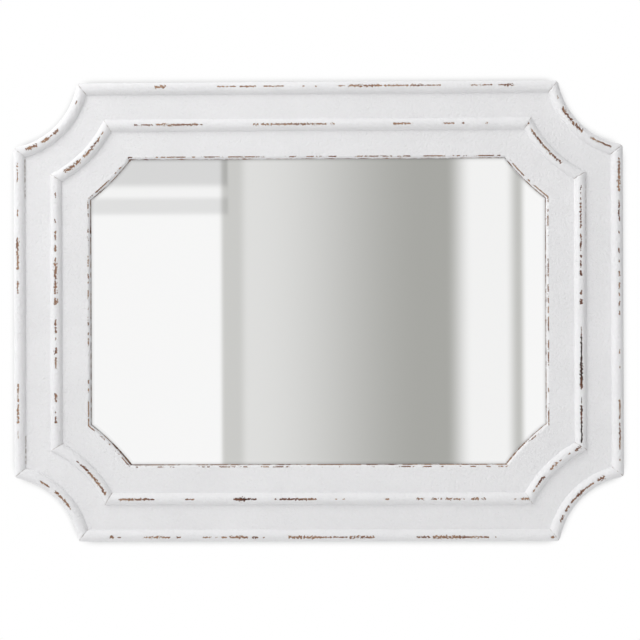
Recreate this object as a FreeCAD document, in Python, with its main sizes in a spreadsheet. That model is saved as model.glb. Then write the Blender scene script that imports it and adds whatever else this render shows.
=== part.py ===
import FreeCAD
import Part
import Sketcher
import math
import os

# A rustic wall mirror. Four mitred boards with scalloped corners carry two rows of planted half-round
# beads. A mirror pane, a cushion sheet and a back panel lie in a rebate behind the opening and are kept in
# by turn buttons. Hangers with swinging rings and rubber bumpers are on the back.
# Millimetres. X runs to the viewer's right, Y from the front towards the wall and Z up.
# The origin is the middle of the wall plane, which the four bumpers touch.

DIMENSIONS = {
    # Boards of the frame
    "overall_width": 813,
    "overall_height": 613,
    "rail_width": 101.5,
    "board_thickness": 18,
    "scallop_radius": 101.6,
    "scallop_offset": 15,
    "tip_round": 8,
    "opening_corner_reach": 54,
    "opening_corner_radius": 300,
    "arris_round": 3,
    # Half-round beads
    "bead_width": 16,
    "bead_height": 6,
    "inner_bead_inset": 49,
    "inner_tip_round": 1.2,
    "moulding_waste": 2,
    # Pane, cushion and back panel in the rebate
    "rebate_width": 12,
    "edge_clearance": 0.5,
    "pane_thickness": 4,
    "cushion_thickness": 2,
    "panel_thickness": 3,
    # Biscuits across the mitres
    "biscuit_length": 56,
    "biscuit_width": 23,
    "biscuit_thickness": 4,
    "biscuit_play": 0.4,
    # Round-head wood screws
    "screw_diameter": 3.5,
    "screw_head_diameter": 7.2,
    "screw_head_height": 2.2,
    "screw_head_rim": 0.7,
    "screw_length": 15,
    "screw_point": 4,
    "pilot_play": 0.1,
    # Turn buttons
    "button_reach": 19,
    "button_width": 12,
    "button_tip_width": 8,
    "button_thickness": 1.5,
    "button_edge_round": 0.4,
    "button_lift": 0.1,
    "button_play": 0.4,
    "button_setback": 9,
    "rail_button_end_step": 186.5,
    "stile_button_end_step": 201.5,
    # Hanger straps and their rings
    "hanger_inset": 45,
    "stile_hanger_end_step": 156.5,
    "rail_hanger_end_step": 206.5,
    "strap_width": 13,
    "strap_length": 46,
    "strap_thickness": 1,
    "strap_end_round": 5,
    "strap_lead": 5,
    "strap_hole_first": 25,
    "strap_hole_pitch": 13,
    "ring_wire": 2.6,
    "ring_width": 24,
    "ring_depth": 17,
    "ring_corner_radius": 2.6,
    "ring_play": 0.3,
    # Rubber bumpers
    "bumper_height": 7,
    "bumper_diameter": 14,
    "bumper_draft": 1,
    "bumper_edge_round": 0.8,
    "bumper_corner_step": 112,
    "bumper_edge_step": 24,
}

doc = FreeCAD.newDocument("RusticMirror")
sheet = doc.addObject("Spreadsheet::Sheet", "Dims")
for row, (alias, number) in enumerate(DIMENSIONS.items(), start=1):
    sheet.set(f"A{row}", alias)
    sheet.set(f"B{row}", str(number))
    sheet.setAlias(f"B{row}", alias)
doc.recompute()

# Sizes that follow from the driving dimensions, as expressions for the document
OPENING_WIDTH = "(Dims.overall_width - 2 * Dims.rail_width)"
OPENING_HEIGHT = "(Dims.overall_height - 2 * Dims.rail_width)"
REBATE_EDGE = "(Dims.rail_width - Dims.rebate_width)"
REBATE_DEPTH = "(Dims.pane_thickness + Dims.cushion_thickness + Dims.panel_thickness)"
LIP_MIDDLE = f"({REBATE_DEPTH} + (Dims.board_thickness - {REBATE_DEPTH}) / 2)"
SCALLOP_ROOT = "(Dims.scallop_radius / sqrt(2) - Dims.scallop_offset)"
BISCUIT_INSET = f"(({SCALLOP_ROOT} + Dims.rail_width + Dims.opening_corner_reach / 2) / 2)"
BUTTON_INSET = f"({REBATE_EDGE} - Dims.button_setback)"
BUTTON_SEAT = "(Dims.button_lift + Dims.button_thickness)"
STRAP_SEAT = "(2 * Dims.strap_thickness)"
RING_BAR_HEIGHT = f"({STRAP_SEAT} + Dims.ring_play + Dims.ring_wire / 2)"
EYE_BORE_RADIUS = "(Dims.ring_wire / 2 + Dims.ring_play)"
EYE_RADIUS = f"({EYE_BORE_RADIUS} + Dims.strap_thickness)"
BACK_PLANE = "-Dims.bumper_height"
FRONT_PLANE = "-(Dims.bumper_height + Dims.board_thickness)"
BLANK_HEIGHT = "(Dims.bead_height + Dims.moulding_waste)"

# Each side is drawn with its outer edge on its own Z axis and its inside towards +X, then turned about Y
SIDES = {
    "left": {"turn": 0, "length": "Dims.overall_height", "x": "-Dims.overall_width / 2", "z": "0"},
    "top": {"turn": 90, "length": "Dims.overall_width", "x": "0", "z": "Dims.overall_height / 2"},
    "right": {"turn": 180, "length": "Dims.overall_height", "x": "Dims.overall_width / 2", "z": "0"},
    "bottom": {"turn": -90, "length": "Dims.overall_width", "x": "0", "z": "-Dims.overall_height / 2"},
}
BOARD_NAMES = {"left": "left_stile", "top": "top_rail", "right": "right_stile", "bottom": "bottom_rail"}
# Each corner's name, the turn of what lies on it, and the signs of its X and Z
CORNERS = [
    ("bottom_left", 0, -1, -1),
    ("top_left", 90, -1, 1),
    ("top_right", 180, 1, 1),
    ("bottom_right", -90, 1, -1),
]
RAIL_BUTTON = "(Dims.overall_width / 2 - Dims.rail_button_end_step)"
STILE_BUTTON = "(Dims.overall_height / 2 - Dims.stile_button_end_step)"
RAIL_BUTTONS = [f"-{RAIL_BUTTON}", "0", RAIL_BUTTON]
STILE_BUTTONS = [f"-{STILE_BUTTON}", STILE_BUTTON]
BUTTON_PLACES = {"left": STILE_BUTTONS, "top": RAIL_BUTTONS, "right": STILE_BUTTONS, "bottom": RAIL_BUTTONS}
STILE_HANGER = "(Dims.overall_height / 2 - Dims.stile_hanger_end_step)"
RAIL_HANGER = "(Dims.overall_width / 2 - Dims.rail_hanger_end_step)"
# Each hanger's side, the end of the board that it is nearer, its step from the middle and its turn
HANGERS = [
    ("left", 1, STILE_HANGER, 0),
    ("right", -1, STILE_HANGER, 0),
    ("top", -1, RAIL_HANGER, -90),
    ("bottom", 1, RAIL_HANGER, -90),
]
STRAP_HOLES = ["Dims.strap_hole_first", "(Dims.strap_hole_first + Dims.strap_hole_pitch)"]

X_DIRECTION, Y_DIRECTION, Z_DIRECTION = range(3)
SAME_SIZE = 1e-4
SAME_ANGLE = 1e-6
sub_parts = []


def measure(size):
    return float(sheet.evalExpression(size))


def new_body(name):
    body = doc.addObject("PartDesign::Body", name)
    body.Label = name
    return body


def place(item, x, y, z, turn=0):
    """Turns an object about Y and puts its own origin at x, y, z."""
    item.Placement = FreeCAD.Placement(FreeCAD.Vector(), FreeCAD.Rotation(FreeCAD.Vector(0, 1, 0), turn))
    for axis, size in (("x", x), ("y", y), ("z", z)):
        item.setExpression(f"Placement.Base.{axis}", size)


def on_side(side, inward, along):
    """X and Z of a point on a side: inward from its outer edge, and along it from its middle."""
    turn = math.radians(SIDES[side]["turn"])
    cosine = round(math.cos(turn))
    sine = round(math.sin(turn))
    x = f"{SIDES[side]['x']} + ({cosine}) * ({inward}) + ({sine}) * ({along})"
    z = f"{SIDES[side]['z']} - ({sine}) * ({inward}) + ({cosine}) * ({along})"
    return x, z


class Drawing:
    """A sketch on one of a body's origin planes, whose points and sizes follow the sheet."""

    CENTRE_INDEX = 3
    ORIGIN_INDEX = (-1, 1)
    X_AXIS_INDEX = -1
    Y_AXIS_INDEX = -2

    def __init__(self, body, name, plane):
        self.sketch = body.newObject("Sketcher::SketchObject", name)
        support = [item for item in body.Origin.OriginFeatures if item.Role == plane][0]
        self.sketch.AttachmentSupport = (support, [""])
        self.sketch.MapMode = "FlatFace"

    def line(self, start, end):
        return self.sketch.addGeometry(Part.LineSegment(FreeCAD.Vector(*start), FreeCAD.Vector(*end)))

    def arc(self, centre, start, end, long=False):
        """An arc between two points, the short or the long way round its centre."""
        first, last = (math.atan2(point[1] - centre[1], point[0] - centre[0]) for point in (start, end))
        sweep = (last - first) % (2 * math.pi)
        is_long = sweep > math.pi + SAME_ANGLE
        if is_long != long:
            first, sweep = last, 2 * math.pi - sweep
        circle = Part.Circle(FreeCAD.Vector(*centre), FreeCAD.Vector(0, 0, 1), math.dist(centre, start))
        return self.sketch.addGeometry(Part.ArcOfCircle(circle, first, first + sweep))

    def circle(self, x, y, radius):
        centre = FreeCAD.Vector(measure(x), measure(y))
        disc = self.sketch.addGeometry(Part.Circle(centre, FreeCAD.Vector(0, 0, 1), measure(radius)))
        self.fix((disc, self.CENTRE_INDEX), x, y)
        self.size("Radius", radius, disc)

    def mark(self, x, y):
        """A construction point at a fixed place."""
        point = self.sketch.addGeometry(Part.Point(FreeCAD.Vector(measure(x), measure(y))), True)
        self.fix((point, 1), x, y)
        return point

    def rule(self, kind, *references):
        return self.sketch.addConstraint(Sketcher.Constraint(kind, *references))

    def size(self, kind, size, *references):
        index = self.rule(kind, *references, measure(size))
        self.sketch.setExpression(f"Constraints[{index}]", size)

    def fix(self, point, x=None, y=None):
        """Holds a point at a place that is measured from the sketch's origin."""
        for kind, axis, size in (("DistanceX", self.Y_AXIS_INDEX, x), ("DistanceY", self.X_AXIS_INDEX, y)):
            if size is None:
                continue
            if abs(measure(size)) < SAME_SIZE:
                self.rule("PointOnObject", *point, axis)
            elif measure(size) > 0:
                self.size(kind, size, *self.ORIGIN_INDEX, *point)
            else:
                self.size(kind, f"-({size})", *point, *self.ORIGIN_INDEX)

    def end_near(self, piece, spot):
        """The end of a piece that lies nearer to a place."""
        return min((1, 2), key=lambda end: math.dist(tuple(self.sketch.getPoint(piece, end))[:2], spot))

    def nearest_ends(self, first, second):
        def gap(ends):
            return (self.sketch.getPoint(first, ends[0]) - self.sketch.getPoint(second, ends[1])).Length

        nearest = min([(1, 1), (1, 2), (2, 1), (2, 2)], key=gap)
        return first, nearest[0], second, nearest[1]

    def join(self, *pieces):
        """Makes neighbouring pieces meet end to end."""
        for first, second in zip(pieces, pieces[1:]):
            self.rule("Coincident", *self.nearest_ends(first, second))

    def blend(self, *pieces):
        """Makes neighbouring pieces meet end to end and run smoothly into each other."""
        for first, second in zip(pieces, pieces[1:]):
            self.rule("Tangent", *self.nearest_ends(first, second))

    def path(self, *points):
        """Straight lines from point to point, each point fixed by its own pair of expressions."""
        places = [(measure(x), measure(y)) for x, y in points]
        lines = [self.line(start, end) for start, end in zip(places, places[1:])]
        self.join(*lines)
        self.fix((lines[0], 1), *points[0])
        for line, point in zip(lines, points[1:]):
            self.fix((line, 2), *point)
        return lines

    def polygon(self, *points):
        lines = self.path(*points)
        last = self.line(*[(measure(x), measure(y)) for x, y in (points[-1], points[0])])
        self.join(lines[-1], last)
        self.rule("Coincident", last, 2, lines[0], 1)


def add_feature(body, kind, drawing):
    feature = body.newObject(f"PartDesign::{kind}", f"{drawing.sketch.Name}{kind}")
    feature.Profile = drawing.sketch
    return feature


def pad(body, drawing, length, towards_wall=False, symmetric=False):
    feature = add_feature(body, "Pad", drawing)
    feature.setExpression("Length", length)
    feature.Reversed = towards_wall
    feature.SideType = "Symmetric" if symmetric else "One side"
    doc.recompute()


def revolve(body, drawing):
    feature = add_feature(body, "Revolution", drawing)
    feature.ReferenceAxis = (drawing.sketch, ["V_Axis"])
    feature.Angle = 360
    doc.recompute()


def check_cut(feature, volume_before):
    doc.recompute()
    if feature.Shape.Volume >= volume_before:
        raise RuntimeError(f"{feature.Name} cuts nothing")


def pocket(body, drawing, depth=None, towards_front=False, symmetric=False):
    """Cuts a drawing out of a body to a depth, or right through where none is given."""
    doc.recompute()
    volume_before = body.Shape.Volume
    feature = add_feature(body, "Pocket", drawing)
    if depth is None:
        feature.Type = "ThroughAll"
    else:
        feature.setExpression("Length", depth)
    feature.Reversed = towards_front
    feature.SideType = "Symmetric" if symmetric else "One side"
    check_cut(feature, volume_before)


def groove(body, drawing):
    doc.recompute()
    volume_before = body.Shape.Volume
    feature = add_feature(body, "Groove", drawing)
    feature.ReferenceAxis = (drawing.sketch, ["V_Axis"])
    feature.Angle = 360
    check_cut(feature, volume_before)


def round_edges(body, name, radius, is_wanted):
    """Rounds the edges of a body that a test picks out."""
    doc.recompute()
    base = body.Tip
    edges = [f"Edge{i}" for i, edge in enumerate(base.Shape.Edges, start=1) if is_wanted(edge)]
    if not edges:
        raise RuntimeError(f"{name} finds no edge")
    feature = body.newObject("PartDesign::Fillet", name)
    feature.Base = (base, edges)
    feature.setExpression("Radius", radius)
    doc.recompute()


def is_near(first, second):
    return abs(first - second) < SAME_SIZE


def is_along(edge, direction):
    """True for a straight edge along the body's own X, Y or Z."""
    if edge.Curve.TypeId != "Part::GeomLine":
        return False
    return is_near(abs(edge.tangentAt(edge.FirstParameter)[direction]), 1)


def is_circle(edge, radius):
    return edge.Curve.TypeId == "Part::GeomCircle" and is_near(edge.Curve.Radius, radius)


def board_outline(body, length):
    """Outer edge, scalloped ends, mitres, and the edge of the opening with its bowed corners."""
    half = measure(f"{length} / 2")
    radius = measure("Dims.scallop_radius")
    offset = measure("Dims.scallop_offset")
    width = measure("Dims.rail_width")
    reach = measure("Dims.opening_corner_reach")
    bow_radius = measure("Dims.opening_corner_radius")
    root_step = radius / math.sqrt(2)
    bow_step = math.sqrt((bow_radius ** 2 - reach ** 2 / 2) / 2)
    bow_centre = width + reach / 2 - bow_step
    bow_root = bow_centre + bow_radius / math.sqrt(2)

    drawing = Drawing(body, "Outline", "XZ_Plane")
    scallops = []
    mitres = []
    bows = []
    tips = []
    bow_tips = []
    for sign in (1, -1):
        tip = (0, sign * (half + offset - math.sqrt(radius ** 2 - offset ** 2)))
        root = (root_step - offset, sign * (half + offset - root_step))
        mitre_end = (bow_root, sign * (half - bow_root))
        bow_tip = (width, sign * (half - width - reach))
        scallops.append(drawing.arc((-offset, sign * (half + offset)), tip, root))
        mitres.append(drawing.line(root, mitre_end))
        bows.append(drawing.arc((bow_centre, sign * (half - bow_centre)), mitre_end, bow_tip))
        tips.append(tip)
        bow_tips.append(bow_tip)
    outer = drawing.line(*tips)
    inner = drawing.line(*bow_tips)
    drawing.join(outer, scallops[0], mitres[0], bows[0], inner, bows[1], mitres[1], scallops[1], outer)

    mirror_line = drawing.X_AXIS_INDEX
    drawing.rule("Symmetric", outer, 1, outer, 2, mirror_line)
    drawing.rule("Symmetric", inner, 1, inner, 2, mirror_line)
    for end in (1, 2):
        drawing.rule("Symmetric", mitres[0], end, mitres[1], end, mirror_line)
    drawing.rule("Equal", *scallops)
    drawing.rule("Equal", *bows)
    drawing.fix((outer, 1), x="0")
    scallop_height = f"{length} / 2 + Dims.scallop_offset"
    drawing.fix((scallops[0], drawing.CENTRE_INDEX), "-Dims.scallop_offset", scallop_height)
    drawing.size("Radius", "Dims.scallop_radius", scallops[0])
    drawing.fix((mitres[0], 1), x=SCALLOP_ROOT)
    for arc in (scallops[0], bows[0]):
        drawing.rule("PointOnObject", arc, drawing.CENTRE_INDEX, mitres[0])
    drawing.size("Radius", "Dims.opening_corner_radius", bows[0])
    drawing.fix((inner, 1), "Dims.rail_width", f"{length} / 2 - Dims.rail_width - Dims.opening_corner_reach")
    return drawing


def draw_biscuit(drawing, x, y, slope, play="0"):
    """Two equal arcs whose tips lie on a line that rises, or falls, at 45 degrees."""
    half_length = f"((Dims.biscuit_length + {play}) / 2)"
    half_width = f"((Dims.biscuit_width + {play}) / 2)"
    step = f"({half_length} / sqrt(2))"
    radius = f"(({half_length} ^ 2 + {half_width} ^ 2) / (2 * {half_width}))"
    low = (f"{x} - {step}", f"{y} - ({slope}) * {step}")
    high = (f"{x} + {step}", f"{y} + ({slope}) * {step}")
    tips = [(measure(tip[0]), measure(tip[1])) for tip in (low, high)]
    centre_step = (measure(radius) - measure(half_width)) / math.sqrt(2)
    arcs = []
    for sign in (1, -1):
        centre = (measure(x) + sign * slope * centre_step, measure(y) - sign * centre_step)
        arcs.append(drawing.arc(centre, *tips))
        drawing.size("Radius", radius, arcs[-1])
    drawing.rule("Coincident", arcs[0], 1, arcs[1], 2)
    drawing.rule("Coincident", arcs[0], 2, arcs[1], 1)
    for tip, spot in zip((low, high), tips):
        drawing.fix((arcs[0], drawing.end_near(arcs[0], spot)), *tip)


def make_board(side):
    """A mitred board, rebated behind the opening, with biscuit slots and pilot holes."""
    length = SIDES[side]["length"]
    body = new_body(BOARD_NAMES[side])
    pad(body, board_outline(body, length), "Dims.board_thickness")
    round_edges(body, "TipRound", "Dims.tip_round",
                lambda edge: is_along(edge, Y_DIRECTION) and is_near(edge.CenterOfMass.x, 0))

    rebate = Drawing(body, "Rebate", "XZ_Plane")
    rebate_end = f"({length} / 2 - {REBATE_EDGE})"
    rebate_side = "(Dims.rail_width + Dims.opening_corner_reach)"
    rebate.polygon((REBATE_EDGE, f"-{rebate_end}"), (rebate_side, f"-{rebate_end}"),
                   (rebate_side, rebate_end), (REBATE_EDGE, rebate_end))
    pocket(body, rebate, REBATE_DEPTH, towards_front=True)

    front = -measure("Dims.board_thickness")
    opening_edge = measure("Dims.rail_width")
    bow_radius = measure("Dims.opening_corner_radius")

    def is_arris(edge):
        is_straight = is_along(edge, Z_DIRECTION) and is_near(edge.CenterOfMass.x, opening_edge)
        return is_near(edge.BoundBox.YMax, front) and (is_straight or is_circle(edge, bow_radius))

    round_edges(body, "ArrisRound", "Dims.arris_round", is_arris)

    slots = Drawing(body, "BiscuitSlots", "XZ_Plane")
    slots.sketch.setExpression("AttachmentOffset.Base.z", LIP_MIDDLE)
    for sign in (1, -1):
        along = f"({sign}) * ({length} / 2 - {BISCUIT_INSET})"
        draw_biscuit(slots, BISCUIT_INSET, along, -sign, "Dims.biscuit_play")
    pocket(body, slots, "Dims.biscuit_thickness + Dims.biscuit_play", symmetric=True)

    pilots = Drawing(body, "PilotHoles", "XZ_Plane")
    pilot_radius = "(Dims.screw_diameter + Dims.pilot_play) / 2"
    for along in BUTTON_PLACES[side]:
        pilots.circle(BUTTON_INSET, along, pilot_radius)
    for hanger_side, end, step, turn in HANGERS:
        if hanger_side == side:
            for hole in STRAP_HOLES:
                pilots.circle("Dims.hanger_inset", f"({end}) * ({step} - {hole})", pilot_radius)
    pocket(body, pilots, "Dims.screw_length", towards_front=True)

    place(body, SIDES[side]["x"], BACK_PLANE, SIDES[side]["z"], SIDES[side]["turn"])
    sub_parts.append(body)


def eased_tip(corner, foot, outward, radius):
    """Centre and ends of the small arc that eases a bead's tip, centred on the mitre.

    The mitre runs from the tip's corner to its foot, and outward is square to the bead's outer edge."""
    run = (foot[0] - corner[0], foot[1] - corner[1])
    depth = -(run[0] * outward[0] + run[1] * outward[1])
    centre = tuple(corner[i] + run[i] * radius / depth for i in (0, 1))
    on_edge = tuple(centre[i] + outward[i] * radius for i in (0, 1))
    on_mitre = tuple(centre[i] - run[i] * radius / math.hypot(*run) for i in (0, 1))
    return centre, on_edge, on_mitre


def draw_tip(drawing, corner, foot, outward, tip_radius):
    """Draws a mitre and its eased tip, and returns the tip, the mitre and where the tip leaves the edge."""
    centre, on_edge, on_mitre = eased_tip(corner, foot, outward, measure(tip_radius))
    tip = drawing.arc(centre, on_edge, on_mitre)
    mitre = drawing.line(on_mitre, foot)
    return tip, mitre, on_edge


def hold_tip(drawing, tip, mitre, corner, tip_radius):
    """Puts the mitre through its corner, and the centre of the eased tip on the mitre."""
    mark = drawing.mark(*corner)
    drawing.rule("PointOnObject", mark, 1, mitre)
    drawing.rule("PointOnObject", tip, drawing.CENTRE_INDEX, mitre)
    drawing.size("Radius", tip_radius, tip)


def scallop_band(inset):
    """Radius of a bead's edge round the scallop's centre, and the run and rise to where it is mitred."""
    radius = f"(Dims.scallop_radius + {inset})"
    rise = f"(Dims.scallop_offset + {inset})"
    run = f"sqrt({radius} ^ 2 - {rise} ^ 2)"
    return radius, run, rise


def straight_bead_outline(body, length, inset, tip_radius):
    """A long trapezium between two mitres, with its outer tips eased."""
    foot_inset = f"({inset} + Dims.bead_width)"
    ends = {}
    for depth in (inset, foot_inset):
        ends[depth] = f"({length} / 2 + Dims.scallop_offset - {scallop_band(depth)[1]})"
    drawing = Drawing(body, "Outline", "XZ_Plane")
    tips = []
    mitres = []
    edge_points = []
    feet = []
    for sign in (1, -1):
        corner = (measure(inset), sign * measure(ends[inset]))
        foot = (measure(foot_inset), sign * measure(ends[foot_inset]))
        tip, mitre, on_edge = draw_tip(drawing, corner, foot, (-1, 0), tip_radius)
        tips.append(tip)
        mitres.append(mitre)
        edge_points.append(on_edge)
        feet.append(foot)
    outer = drawing.line(*edge_points)
    inner = drawing.line(*feet)
    drawing.blend(tips[0], outer, tips[1])
    drawing.join(tips[1], mitres[1], inner, mitres[0], tips[0])
    drawing.rule("Vertical", outer)
    drawing.fix((outer, 1), x=inset)
    for index, sign in enumerate((1, -1)):
        hold_tip(drawing, tips[index], mitres[index], (inset, f"({sign}) * {ends[inset]}"), tip_radius)
        drawing.fix((mitres[index], 2), foot_inset, f"({sign}) * {ends[foot_inset]}")
    return drawing


def curved_bead_outline(body, inset, tip_radius):
    """A band round the scallop's centre between two mitres, with its outer tips eased."""
    near, near_run, near_rise = scallop_band(inset)
    far, far_run, far_rise = scallop_band(f"({inset} + Dims.bead_width)")
    corners = [(near_run, near_rise), (near_rise, near_run)]
    foot_places = [(far_run, far_rise), (far_rise, far_run)]
    drawing = Drawing(body, "Outline", "XZ_Plane")
    tips = []
    mitres = []
    edge_points = []
    feet = []
    for corner_place, foot_place in zip(corners, foot_places):
        corner = tuple(measure(size) for size in corner_place)
        foot = tuple(measure(size) for size in foot_place)
        outward = tuple(-value / measure(near) for value in corner)
        tip, mitre, on_edge = draw_tip(drawing, corner, foot, outward, tip_radius)
        tips.append(tip)
        mitres.append(mitre)
        edge_points.append(on_edge)
        feet.append(foot)
    outer = drawing.arc((0, 0), *edge_points)
    inner = drawing.arc((0, 0), *feet)
    drawing.blend(tips[0], outer, tips[1])
    drawing.join(tips[1], mitres[1], inner, mitres[0], tips[0])
    for arc, radius in ((outer, near), (inner, far)):
        drawing.rule("Coincident", arc, drawing.CENTRE_INDEX, *drawing.ORIGIN_INDEX)
        drawing.size("Radius", radius, arc)
    for index in (0, 1):
        hold_tip(drawing, tips[index], mitres[index], corners[index], tip_radius)
    drawing.fix((mitres[0], 2), y=far_rise)
    drawing.fix((mitres[1], 2), x=far_rise)
    return drawing


def half_round_waste(body, start):
    """What is cut off a square blank to leave a half-round bead, whose width begins at start."""
    waste = "Dims.moulding_waste"
    end = f"({start} + Dims.bead_width)"
    clear_of_blank = f"-(Dims.bead_height + 2 * {waste})"
    drawing = Drawing(body, "Waste", "XY_Plane")
    lines = drawing.path((start, "0"), (f"{start} - {waste}", "0"), (f"{start} - {waste}", clear_of_blank),
                         (f"{end} + {waste}", clear_of_blank), (f"{end} + {waste}", "0"), (end, "0"))
    radius = "((Dims.bead_width ^ 2 / 4 + Dims.bead_height ^ 2) / (2 * Dims.bead_height))"
    centre = (measure(f"({start} + {end}) / 2"), measure(f"{radius} - Dims.bead_height"))
    crown = drawing.arc(centre, (measure(start), 0), (measure(end), 0))
    drawing.join(lines[-1], crown, lines[0])
    drawing.size("Radius", radius, crown)
    return drawing


def make_straight_bead(row, side, inset, tip_radius):
    """A straight length of half-round, mitred at both ends."""
    body = new_body(f"{row}_bead_{side}")
    pad(body, straight_bead_outline(body, SIDES[side]["length"], inset, tip_radius), BLANK_HEIGHT)
    pocket(body, half_round_waste(body, inset), symmetric=True)
    place(body, SIDES[side]["x"], FRONT_PLANE, SIDES[side]["z"], SIDES[side]["turn"])
    sub_parts.append(body)


def make_curved_bead(row, corner, inset, tip_radius):
    """A length of half-round turned about the scallop's centre, mitred at both ends."""
    name, turn, x_sign, z_sign = corner
    body = new_body(f"{row}_bead_{name}")
    pad(body, curved_bead_outline(body, inset, tip_radius), BLANK_HEIGHT)
    groove(body, half_round_waste(body, f"(Dims.scallop_radius + {inset})"))
    x = f"({x_sign}) * (Dims.overall_width / 2 + Dims.scallop_offset)"
    z = f"({z_sign}) * (Dims.overall_height / 2 + Dims.scallop_offset)"
    place(body, x, FRONT_PLANE, z, turn)
    sub_parts.append(body)


def make_sheet(name, thickness, back):
    """A rectangular sheet that fills the rebate but for the clearance round its edge."""
    margin = "(Dims.rebate_width - Dims.edge_clearance)"
    half_width = f"({OPENING_WIDTH} / 2 + {margin})"
    half_height = f"({OPENING_HEIGHT} / 2 + {margin})"
    body = new_body(name)
    drawing = Drawing(body, "Outline", "XZ_Plane")
    drawing.polygon((f"-{half_width}", f"-{half_height}"), (half_width, f"-{half_height}"),
                    (half_width, half_height), (f"-{half_width}", half_height))
    pad(body, drawing, thickness)
    place(body, "0", back, "0")
    sub_parts.append(body)


def make_group(name, pattern, places):
    """One node that holds a copy of a body at each place: x, y, z and a turn about Y."""
    copies = []
    for number, (x, y, z, turn) in enumerate(places, start=1):
        copy = doc.addObject("App::Link", f"{name}_{number}")
        copy.LinkedObject = pattern
        place(copy, x, y, z, turn)
        copies.append(copy)
    group = doc.addObject("Part::Compound", name)
    group.Label = name
    group.Links = copies
    doc.recompute()
    sub_parts.append(group)


def make_biscuits():
    pattern = new_body("biscuit")
    drawing = Drawing(pattern, "Outline", "XZ_Plane")
    draw_biscuit(drawing, "0", "0", 1)
    pad(pattern, drawing, "Dims.biscuit_thickness", symmetric=True)
    places = []
    for name, turn, x_sign, z_sign in CORNERS:
        x = f"({x_sign}) * (Dims.overall_width / 2 - {BISCUIT_INSET})"
        z = f"({z_sign}) * (Dims.overall_height / 2 - {BISCUIT_INSET})"
        places.append((x, f"{BACK_PLANE} - {LIP_MIDDLE}", z, turn))
    make_group("mitre_biscuits", pattern, places)


def make_screw_pattern():
    """A round-head screw that points away from the wall, with the seat of its head at Y = 0."""
    body = new_body("screw")
    head = "Dims.screw_head_diameter / 2"
    shank = "Dims.screw_diameter / 2"
    top = ("0", "Dims.screw_head_height")
    rim = (head, "Dims.screw_head_rim")
    drawing = Drawing(body, "Profile", "XY_Plane")
    lines = drawing.path(rim, (head, "0"), (shank, "0"), (shank, "Dims.screw_point - Dims.screw_length"),
                         ("0", "-Dims.screw_length"), top)
    rise = measure(f"{top[1]} - {rim[1]}")
    crown_radius = (measure(head) ** 2 + rise ** 2) / (2 * rise)
    centre = (0, measure(top[1]) - crown_radius)
    crown = drawing.arc(centre, (0, measure(top[1])), tuple(measure(size) for size in rim))
    drawing.join(lines[-1], crown, lines[0])
    drawing.rule("PointOnObject", crown, drawing.CENTRE_INDEX, drawing.Y_AXIS_INDEX)
    revolve(body, drawing)
    return body


def button_places():
    """Side, number, X and Z of every turn button's pivot."""
    for side, steps in BUTTON_PLACES.items():
        for number, along in enumerate(steps, start=1):
            yield side, number, *on_side(side, BUTTON_INSET, along)


def make_turn_button(side, number, x, z):
    """A tapered tab with rounded ends that pivots on its screw and points inward at rest."""
    pivot_radius = "(Dims.button_width / 2)"
    tip_radius = "(Dims.button_tip_width / 2)"
    tip_step = f"(Dims.button_reach - {tip_radius})"
    large = measure(pivot_radius)
    small = measure(tip_radius)
    step = measure(tip_step)
    lean = math.asin((large - small) / step)
    body = new_body(f"turn_button_{side}_{number}")
    drawing = Drawing(body, "Outline", "XZ_Plane")
    pivot_ends = []
    tip_ends = []
    flanks = []
    for sign in (1, -1):
        pivot_ends.append((large * math.sin(lean), sign * large * math.cos(lean)))
        tip_ends.append((step + small * math.sin(lean), sign * small * math.cos(lean)))
        flanks.append(drawing.line(pivot_ends[-1], tip_ends[-1]))
    pivot_end = drawing.arc((0, 0), *pivot_ends, long=True)
    tip_end = drawing.arc((step, 0), *tip_ends)
    drawing.blend(pivot_end, flanks[0], tip_end, flanks[1], pivot_end)
    drawing.fix((pivot_end, drawing.CENTRE_INDEX), "0", "0")
    drawing.fix((tip_end, drawing.CENTRE_INDEX), tip_step, "0")
    drawing.size("Radius", pivot_radius, pivot_end)
    drawing.size("Radius", tip_radius, tip_end)
    drawing.circle("0", "0", "(Dims.screw_diameter + Dims.button_play) / 2")
    pad(body, drawing, "Dims.button_thickness", towards_wall=True)

    top = measure("Dims.button_thickness")
    bore = measure("(Dims.screw_diameter + Dims.button_play) / 2")
    round_edges(body, "EdgeRound", "Dims.button_edge_round",
                lambda edge: is_near(edge.BoundBox.YMin, top) and not is_circle(edge, bore))
    place(body, x, f"{BACK_PLANE} + Dims.button_lift", z, SIDES[side]["turn"])
    sub_parts.append(body)


def hanger_places():
    """Side, turn, X and Z of every hanger's ring bar."""
    for side, end, step, turn in HANGERS:
        yield side, turn, *on_side(side, "Dims.hanger_inset", f"({end}) * {step}")


def hanger_screw_places():
    """Place and turn of every hanger screw, with its head on the strap."""
    for side, end, step, turn in HANGERS:
        for hole in STRAP_HOLES:
            x, z = on_side(side, "Dims.hanger_inset", f"({end}) * ({step} - {hole})")
            yield x, f"{BACK_PLANE} + {STRAP_SEAT}", z, 0


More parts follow.
